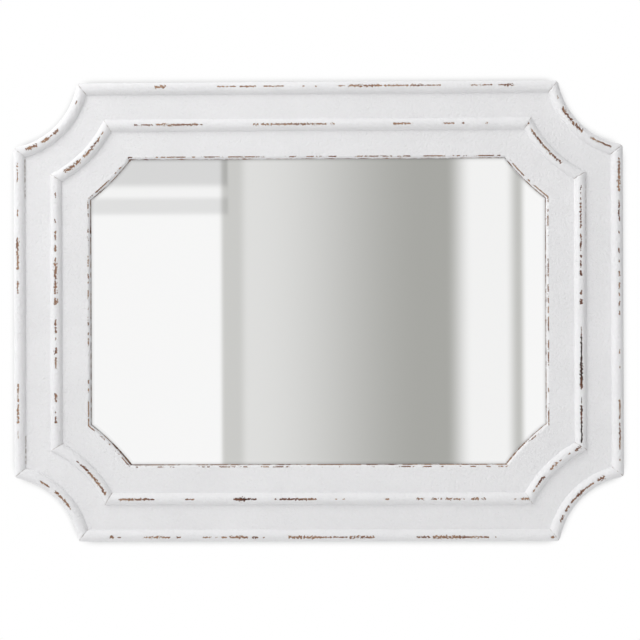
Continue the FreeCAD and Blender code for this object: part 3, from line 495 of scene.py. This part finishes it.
class StraightBead:
    """Places points of a straight bead: along is X or Z in millimetres, depth is from its outer edge."""

    def __init__(self, side, inset, tip):
        self.is_upright = side in ("left", "right")
        self.sign = 1 if side in ("top", "right") else -1
        self.inset = inset
        self.tip = tip
        half = HALF_HEIGHT if self.is_upright else HALF_WIDTH
        self.edge = HALF_WIDTH if self.is_upright else HALF_HEIGHT
        self.outer_end, self.inner_end = (half + SCALLOP_OFFSET - band_corner(step)[0]
                                          for step in (inset, inset + BEAD_WIDTH))
        self.unit = 1.0

    def ends(self, depth):
        slope = (self.inner_end - self.outer_end) / BEAD_WIDTH
        end = self.outer_end + slope * depth
        if depth < self.tip:
            eased = self.outer_end + slope * self.tip + math.sqrt(self.tip ** 2 - (self.tip - depth) ** 2)
            end = min(end, eased)
        return -end, end

    def spot(self, along, depth):
        level = self.sign * (self.edge - self.inset - depth)
        return (level, along) if self.is_upright else (along, level)


class CurvedBead:
    """Places points of a curved bead: along is degrees round the scallop, depth is from its outer edge."""

    def __init__(self, corner, inset, tip):
        self.x_sign = 1 if "right" in corner else -1
        self.z_sign = 1 if "top" in corner else -1
        self.near = SCALLOP_RADIUS + inset
        self.corner = Vector(band_corner(inset))
        self.run = Vector(band_corner(inset + BEAD_WIDTH)) - self.corner
        self.tip = tip
        self.unit = math.radians(self.near + BEAD_WIDTH / 2)

    def ends(self, depth):
        radius = self.near + depth
        a = self.run.length_squared
        b = 2 * self.run.dot(self.corner)
        c = self.corner.length_squared - radius ** 2
        mitre = self.corner + self.run * ((math.sqrt(b * b - 4 * a * c) - b) / (2 * a))
        start = math.atan2(mitre.y, mitre.x)
        centre = self.corner + self.run * (self.tip / self.run.dot(self.corner) * self.near)
        if radius < centre.length:
            cosine = (radius ** 2 + centre.length_squared - self.tip ** 2) / (2 * radius * centre.length)
            start = max(start, math.atan2(centre.y, centre.x) - math.acos(min(cosine, 1.0)))
        start = math.degrees(start)
        return start, 90 - start

    def spot(self, along, depth):
        radius = self.near + depth
        turn = math.radians(along)
        x = HALF_WIDTH + SCALLOP_OFFSET - radius * math.cos(turn)
        z = HALF_HEIGHT + SCALLOP_OFFSET - radius * math.sin(turn)
        return self.x_sign * x, self.z_sign * z


def wear_at(streaks, unit, along, off_crest, spot):
    """Above zero where a streak has taken the paint off, with a ragged edge."""
    worn = NO_STREAK
    for start, end, half_width in streaks:
        beyond = max(start - along, along - end, 0) * unit
        if beyond < STREAK_REACH:
            fading = math.hypot(beyond / STREAK_FADE, off_crest / (STREAK_SPREAD * half_width))
            worn = max(worn, STREAK_STRENGTH - fading)
    if worn <= -1.5:
        return NO_STREAK
    x, z = spot
    coarse = noise.noise(Vector((x / FRAY_COARSE_SIZE, z / FRAY_COARSE_SIZE, 3.0)))
    fine = noise.noise(Vector((x / FRAY_FINE_SIZE, z / FRAY_FINE_SIZE, 9.0)))
    return worn + FRAY_COARSE * coarse + FRAY_FINE * fine


def make_bead(name, bead, crest_shift, material):
    """A half-round moulding with eased mitres, chipped paint and the slight waves of hand work."""
    middle = bead.ends(BEAD_WIDTH / 2)
    length = (middle[1] - middle[0]) * bead.unit
    count = max(2, round((length - 2 * END_STEPS[-1]) / ALONG_STEP))
    inner = [END_STEPS[-1] + (length - 2 * END_STEPS[-1]) * i / count for i in range(count + 1)]
    steps = END_STEPS[:-1] + inner + [length - step for step in reversed(END_STEPS[:-1])]
    streaks = BEAD_WEAR[name]
    cracks = FOOT_CRACKS.get(name, ())
    dark_low, dark_high = DARK_LENGTHS.get(name, (0.0, 0.0))
    points = []
    wear = []
    seam = []
    tone = []
    columns = len(ACROSS_STEPS)
    for step in steps:
        share = step / length
        from_end = min(step, length - step)
        drop = END_DROP * (1 - smooth(from_end, 0, END_STEPS[-1]))
        for across in ACROSS_STEPS:
            depth = across + BEAD_WIDTH / 2
            first_end, last_end = bead.ends(depth)
            along = first_end + (last_end - first_end) * share
            x, z = bead.spot(along, depth)
            worn = wear_at(streaks, bead.unit, along, across - crest_shift, (x, z))
            is_dark = dark_low < along < dark_high
            worn += DARK_WEAR * is_dark
            height = crown(across)
            body = height / BEAD_HEIGHT
            wave = WAVINESS * (noise.noise(Vector((x / WAVE_LENGTH, z / WAVE_LENGTH, 1.0))) - 1)
            height += body * (wave - drop - CHIP_DEPTH * smooth(worn, -0.15, 0.3))
            points.append((x * MM, (FRONT_PLANE - height) * MM, z * MM))
            wear.append(worn)
            tone.append(BEAD_TONE.get(name, 0.0) + DARK_TONE * is_dark)
            at_foot = [smooth(foot * across, FOOT_START, FOOT_END)
                       for low, high, foot in cracks if low < along < high]
            seam.append(max(1 - smooth(from_end, SEAM_START, SEAM_END), *at_foot, 0.0))
    faces = []
    rows = len(steps)
    for row in range(rows - 1):
        first = row * columns
        for column in range(columns - 1):
            corner = first + column
            faces.append((corner, corner + 1, corner + columns + 1, corner + columns))
        faces.append((first + columns - 1, first, first + columns, first + 2 * columns - 1))
    faces.append(tuple(reversed(range(columns))))
    faces.append(tuple(range((rows - 1) * columns, rows * columns)))
    mesh = bpy.data.meshes.new(name + "_moulding")
    mesh.from_pydata(points, [], faces)
    for label, values in (("wear", wear), ("seam", seam), ("tone", tone)):
        mesh.attributes.new(label, "FLOAT", "POINT").data.foreach_set("value", values)
    face_outwards(mesh)
    mesh.shade_smooth()
    mesh.set_sharp_from_angle(angle=math.radians(50))
    piece = add_piece(name + "_moulding", mesh, material)
    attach(piece, "frame")
    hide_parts(name)


# Rows of beads: name, then distance from the edge, rounding of the tips and shift of the wear in millimetres
OUTER_ROW = ("outer", 0.0, 8.0, -1.6)
INNER_ROW = ("inner", 49.0, 1.2, 0.0)
bead_along_x = bead_paint("bead_paint_level", LEVEL_GRAIN)
bead_along_z = bead_paint("bead_paint_upright", UPRIGHT_GRAIN)
bead_round = bead_paint("bead_paint_curved", CURVED_GRAIN)
for row, inset, tip, crest_shift in (OUTER_ROW, INNER_ROW):
    for side in ("left", "top", "right", "bottom"):
        bead = StraightBead(side, inset, tip)
        paint = bead_along_z if bead.is_upright else bead_along_x
        make_bead(f"{row}_bead_{side}", bead, crest_shift, paint)
    for corner in ("bottom_left", "top_left", "top_right", "bottom_right"):
        make_bead(f"{row}_bead_{corner}", CurvedBead(corner, inset, tip), crest_shift / 2, bead_round)

for board in ("left_stile", "top_rail", "right_stile", "bottom_rail"):
    paint_node(board, board_paint(board, "stile" in board))
paint_node("mirror_pane", mirror_finish())
paint_node("back_panel", hardboard_finish())
card = plain_finish("card", colour(150, 140, 124), colour(124, 114, 100), 0.9, 160, 0.0001)
beech = plain_finish("beech", colour(205, 165, 122), colour(178, 136, 96), 0.8, 240, 0.0001)
rubber = plain_finish("rubber", colour(52, 51, 50), colour(36, 35, 35), 0.75, 700, 0.00008)
paint_node("cushion_sheet", card)
paint_node("mitre_biscuits", beech)
paint_node("wall_bumpers", rubber)
brass = metal_finish("brass", colour(214, 178, 104), colour(176, 138, 74), 0.34, 90)
zinc = metal_finish("zinc", colour(206, 206, 204), colour(170, 171, 172), 0.36, 120)
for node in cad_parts:
    if node.startswith("turn_button"):
        paint_node(node, brass)
    elif node.startswith(("hanger_strap", "d_ring")):
        paint_node(node, zinc)

# Screws and their recesses, in millimetres and degrees
SCREW_HEAD_RADIUS = 3.6
SCREW_HEAD_RIM = 0.7
SCREW_HEAD_HEIGHT = 2.2
SCREW_SHANK_RADIUS = 1.75
SCREW_SHANK_END = -11.0
SCREW_POINT = -15.0
SCREW_SIDES = 32
SCREW_SPREAD = 7.8
SCREW_TURN = 37
RECESS_ARM = 2.1
RECESS_HALF = 0.45
RECESS_TOP = 2.6
RECESS_FLOOR = 0.9
RECESS_TAPER = 0.6


def lathe(profile, sides):
    """A closed mesh turned about Y from pairs of radius and height, whose ends lie on the axis."""
    shape = bmesh.new()
    rings = []
    for radius, height in profile:
        count = sides if radius > 0 else 1
        turns = [2 * math.pi * i / count for i in range(count)]
        spots = [(radius * math.cos(t) * MM, height * MM, radius * math.sin(t) * MM) for t in turns]
        rings.append([shape.verts.new(spot) for spot in spots])
    for upper, lower in zip(rings, rings[1:]):
        for i in range(sides):
            j = (i + 1) % sides
            corners = [upper[i % len(upper)], upper[j % len(upper)],
                       lower[j % len(lower)], lower[i % len(lower)]]
            shape.faces.new(dict.fromkeys(corners))
    bmesh.ops.recalc_face_normals(shape, faces=shape.faces)
    mesh = bpy.data.meshes.new("lathe")
    shape.to_mesh(mesh)
    shape.free()
    return mesh


def cross_cutter():
    """A tapered cross that cuts the driver's recess."""
    arm, half = RECESS_ARM, RECESS_HALF
    outline = [(arm, half), (half, half), (half, arm), (-half, arm), (-half, half), (-arm, half),
               (-arm, -half), (-half, -half), (-half, -arm), (half, -arm), (half, -half), (arm, -half)]
    points = [(x * scale * MM, height * MM, z * scale * MM)
              for scale, height in ((1.0, RECESS_TOP), (RECESS_TAPER, RECESS_FLOOR)) for x, z in outline]
    sides = len(outline)
    faces = [(i, (i + 1) % sides, (i + 1) % sides + sides, i + sides) for i in range(sides)]
    faces += [tuple(range(sides)), tuple(range(2 * sides - 1, sides - 1, -1))]
    mesh = bpy.data.meshes.new("cross")
    mesh.from_pydata(points, [], faces)
    face_outwards(mesh)
    return mesh


def screw_mesh():
    """A round-head screw with a cross recess, its seat at zero and its head towards +Y."""
    crown_height = SCREW_HEAD_HEIGHT - SCREW_HEAD_RIM
    dome = [(SCREW_HEAD_RADIUS * math.sin(turn), SCREW_HEAD_RIM + crown_height * math.cos(turn))
            for turn in (math.radians(15 * i) for i in range(7))]
    profile = dome + [(SCREW_HEAD_RADIUS, 0.0), (SCREW_SHANK_RADIUS, 0.0),
                      (SCREW_SHANK_RADIUS, SCREW_SHANK_END), (0.0, SCREW_POINT)]
    blank = add_piece("screw_blank", lathe(profile, SCREW_SIDES), zinc)
    cutter = add_piece("screw_cutter", cross_cutter(), zinc)
    cut = blank.modifiers.new("recess", "BOOLEAN")
    cut.operation = "DIFFERENCE"
    cut.solver = "EXACT"
    cut.object = cutter
    depsgraph = bpy.context.evaluated_depsgraph_get()
    mesh = bpy.data.meshes.new_from_object(blank.evaluated_get(depsgraph))
    for item in (blank, cutter):
        bpy.data.objects.remove(item)
    return mesh


def screw_seats(node):
    """The place of each screw's axis in a CAD node, with the back of its head."""
    groups = []
    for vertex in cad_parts[node].data.vertices:
        spot = vertex.co
        near = [group for group in groups
                if math.hypot(group[0].x - spot.x, group[0].z - spot.z) < SCREW_SPREAD * MM]
        if near:
            near[0].append(spot)
        else:
            groups.append([spot])
    for group in groups:
        middle_x, middle_z = ((min(spots) + max(spots)) / 2 for spots in zip(*((co.x, co.z) for co in group)))
        yield middle_x, max(co.y for co in group) - SCREW_HEAD_HEIGHT * MM, middle_z


pattern = screw_mesh()
for node in ("button_screws", "hanger_screws"):
    shape = bmesh.new()
    for number, seat in enumerate(screw_seats(node)):
        first = len(shape.verts)
        shape.from_mesh(pattern)
        shape.verts.ensure_lookup_table()
        turn = Matrix.Rotation(math.radians(SCREW_TURN * number), 4, "Y")
        bmesh.ops.transform(shape, matrix=Matrix.Translation(seat) @ turn, verts=shape.verts[first:])
    mesh = bpy.data.meshes.new(f"cross_{node}")
    shape.to_mesh(mesh)
    shape.free()
    mesh.shade_smooth()
    mesh.set_sharp_from_angle(angle=math.radians(35))
    piece = add_piece(f"cross_{node}", mesh, zinc)
    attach(piece, "frame")
    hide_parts(node)


def stage_plane(name, corners, material):
    mesh = bpy.data.meshes.new(name)
    mesh.from_pydata(corners, [], [range(4)])
    item = add_piece(name, mesh, material)


def upright(reach, plane, foot, top):
    """Corners of an upright plane that faces -Y, or +Y if its reach is below zero."""
    return [(-reach, plane, foot), (reach, plane, foot), (reach, plane, top), (-reach, plane, top)]


def seen_by(shader, *kinds):
    """One for the kinds of ray that are named, and zero for the others."""
    rays = shader.node("LightPath").outputs
    share = rays[kinds[0]]
    for kind in kinds[1:]:
        share = shader.math("MAXIMUM", share, rays[kind])
    return share


def shown_to(shader, share, surface):
    """Gives the material a surface that only some rays meet."""
    clear = shader.node("BsdfTransparent").outputs[0]
    return shader.show(shader.node("MixShader", {0: share, 1: clear, 2: surface}).outputs[0])


WHITE = (1, 1, 1, 1)
DIRECT_RAYS = ("Is Camera Ray", "Is Glossy Ray", "Is Transmission Ray")
FLOOR_GREY = (0.8, 0.8, 0.8, 1.0)
FLOOR_GLOW = 0.5
CONTACT_REACH = 0.02
CONTACT_OPENNESS = (0.55, 0.88)
CONTACT_LEVELS = (0.55, 1.0)


def wall_finish():
    """A white wall with a soft contact shadow, which shows only from the front, to leave the back in view."""
    shader = Shader("pale_wall")
    openness = shader.node("AmbientOcclusion", {"Distance": CONTACT_REACH}).outputs["AO"]
    level = shader.between(openness, *CONTACT_OPENNESS, *CONTACT_LEVELS)
    light = shader.node("Emission", {"Color": WHITE, "Strength": level}).outputs[0]
    is_front = shader.math("SUBTRACT", 1.0, shader.node("NewGeometry").outputs["Backfacing"])
    return shown_to(shader, shader.math("MULTIPLY", seen_by(shader, *DIRECT_RAYS), is_front), light)


def floor_finish():
    """White in the camera's view apart from shadows."""
    shader = Shader("pale_floor")
    diffuse = shader.node("BsdfDiffuse", {"Color": FLOOR_GREY}).outputs[0]
    glow = shader.math("MULTIPLY", seen_by(shader, *DIRECT_RAYS), FLOOR_GLOW)
    light = shader.node("Emission", {"Color": WHITE, "Strength": glow}).outputs[0]
    return shader.show(shader.node("AddShader", {0: diffuse, 1: light}).outputs[0])


# Soft bands of grey for the glass to reflect: place across the card in metres, and level on a screen
CARD_BANDS = [(-1.0, 250), (-0.42, 250), (-0.4, 205), (-0.35, 205), (-0.31, 225), (0.35, 170), (0.42, 170),
              (0.52, 245), (0.64, 245), (0.69, 195), (0.72, 250), (1.0, 250)]
CARD_SIDE_BANDS = [(-6.0, 215), (-4.2, 235), (-3.0, 205), (-2.3, 230), (-1.7, 210), (-1.1, 250),
                   (1.1, 250), (1.7, 205), (2.3, 230), (3.0, 195), (4.2, 230), (6.0, 210)]
# Left of HEAD_END the card is dimmer near its head: height in metres, and share of light
CARD_HEAD_BANDS = [(-1.2, 1.0), (0.38, 1.0), (0.4, 0.8), (0.44, 0.8), (0.46, 0.97), (0.48, 0.97),
                   (0.51, 0.73), (1.2, 0.73)]
CARD_WARMTH = 0.05
CARD_REACH = 6.0
CARD_MIDDLE = 1.0
CARD_RISE = 1.2
CARD_TOP = 4.0
HEAD_START, HEAD_END = -0.41, -0.38


def card_ramp(shader, value, stops, reach):
    """Levels along a card that reaches as far to either side of its middle."""
    shares = [((place + reach) / (2 * reach), level) for place, level in stops]
    return shader.ramp(shader.share(value, -reach, reach), shares, "EASE")


def card_greys(stops):
    """The stops with their levels as colours, the darker ones a little warm."""
    return [(place, colour(level, level, level - CARD_WARMTH * (255 - level))) for place, level in stops]


def card_finish():
    """Soft grey bands that only reflections meet."""
    shader = Shader("reflected_bands")
    x, _, z = shader.parts(shader.place())
    is_side = shader.math("GREATER_THAN", shader.math("ABSOLUTE", x), CARD_MIDDLE)
    middle = card_ramp(shader, x, card_greys(CARD_BANDS), CARD_MIDDLE)
    sides = card_ramp(shader, x, card_greys(CARD_SIDE_BANDS), CARD_REACH)
    bands = shader.mix(is_side, middle, sides)
    head = shader.math("MAXIMUM", card_ramp(shader, z, CARD_HEAD_BANDS, CARD_RISE),
                       shader.between(x, HEAD_START, HEAD_END))
    light = shader.node("Emission", {"Color": bands, "Strength": head}).outputs[0]
    return shown_to(shader, seen_by(shader, "Is Glossy Ray"), light)


STAGE_REACH = 4
STAGE_FRONT = -5
FLOOR_LEVEL = -0.65
WALL_PLANE = 0.0005
WALL_FOOT = FLOOR_LEVEL + 0.02
WALL_TOP = 3
CARD_PLANE = -3.2
floor_corners = [(-STAGE_REACH, STAGE_FRONT, FLOOR_LEVEL), (STAGE_REACH, STAGE_FRONT, FLOOR_LEVEL),
                 (STAGE_REACH, STAGE_REACH, FLOOR_LEVEL), (-STAGE_REACH, STAGE_REACH, FLOOR_LEVEL)]
stage_plane("floor", floor_corners, floor_finish())
stage_plane("wall", upright(STAGE_REACH, WALL_PLANE, WALL_FOOT, WALL_TOP), wall_finish())
stage_plane("reflected_card", upright(-CARD_REACH, CARD_PLANE, FLOOR_LEVEL, CARD_TOP), card_finish())

scene = bpy.context.scene
scene.view_settings.view_transform = "Standard"
world = bpy.data.worlds.new("studio")
scene.world = world
world.use_nodes = True
world_nodes = world.node_tree.nodes
paths = world_nodes.new("ShaderNodeLightPath").outputs
background = world_nodes["Background"]
background.inputs["Color"].default_value = WHITE
AMBIENT = 0.771
AMBIENT_SLOPE = (-0.78, 0.0, 0.12)
seen = paths[DIRECT_RAYS[0]]
for kind in DIRECT_RAYS[1:]:
    either = world_nodes.new("ShaderNodeMath")
    either.operation = "MAXIMUM"
    world.node_tree.links.new(seen, either.inputs[0])
    world.node_tree.links.new(paths[kind], either.inputs[1])
    seen = either.outputs[0]
direction = world_nodes.new("ShaderNodeTexCoord").outputs["Generated"]
slope = world_nodes.new("ShaderNodeVectorMath")
slope.operation = "DOT_PRODUCT"
slope.inputs[1].default_value = [part * AMBIENT for part in AMBIENT_SLOPE]
world.node_tree.links.new(direction, slope.inputs[0])
ambient = world_nodes.new("ShaderNodeMath")
ambient.inputs[1].default_value = AMBIENT
world.node_tree.links.new(slope.outputs["Value"], ambient.inputs[0])
level = world_nodes.new("ShaderNodeMapRange")
world.node_tree.links.new(ambient.outputs[0], level.inputs["To Min"])
world.node_tree.links.new(seen, level.inputs["Value"])
world.node_tree.links.new(level.outputs["Result"], background.inputs["Strength"])


def add_light(name, place, size, power):
    light = bpy.data.lights.new(name, "AREA")
    light.size = size
    light.energy = power
    item = bpy.data.objects.new(name, light)
    item.location = place
    item.rotation_mode = "QUATERNION"
    item.rotation_quaternion = (-Vector(place)).to_track_quat("-Z", "Y")
    scene.collection.objects.link(item)


# Lights: name, place and size in metres, and power in watts
LIGHTS = [("key", (-1.2, -1.25, 1.7), 1.2, 19.5), ("back_key", (2.0, 1.9, 1.4), 1.4, 26)]
for light in LIGHTS:
    add_light(*light)

# The camera's azimuth, elevation and roll in degrees, and what it looks at, in metres
CAMERA_TURNS = (0.875, -0.122, -0.203)
CAMERA_TARGET = Vector((0.003, -0.02, -0.0113))
CAMERA_DISTANCE = 1.8
CAMERA_LENS = 75.7
CAMERA_SENSOR = 36


def add_camera():
    """A camera a little to the right of the mirror's middle and turned by a fifth of a degree."""
    azimuth, elevation, roll = (math.radians(turn) for turn in CAMERA_TURNS)
    forward = Vector((-math.sin(azimuth) * math.cos(elevation), math.cos(azimuth) * math.cos(elevation),
                      -math.sin(elevation)))
    level_right = Vector((math.cos(azimuth), math.sin(azimuth), 0))
    level_up = level_right.cross(forward)
    right = level_right * math.cos(roll) + level_up * math.sin(roll)
    up = level_up * math.cos(roll) - level_right * math.sin(roll)
    camera = bpy.data.cameras.new("camera")
    camera.sensor_width = CAMERA_SENSOR
    camera.lens = CAMERA_LENS
    item = bpy.data.objects.new("camera", camera)
    turned = Matrix((right, up, -forward)).transposed().to_4x4()
    item.matrix_world = Matrix.Translation(CAMERA_TARGET - forward * CAMERA_DISTANCE) @ turned
    scene.collection.objects.link(item)
    scene.camera = item


add_camera()
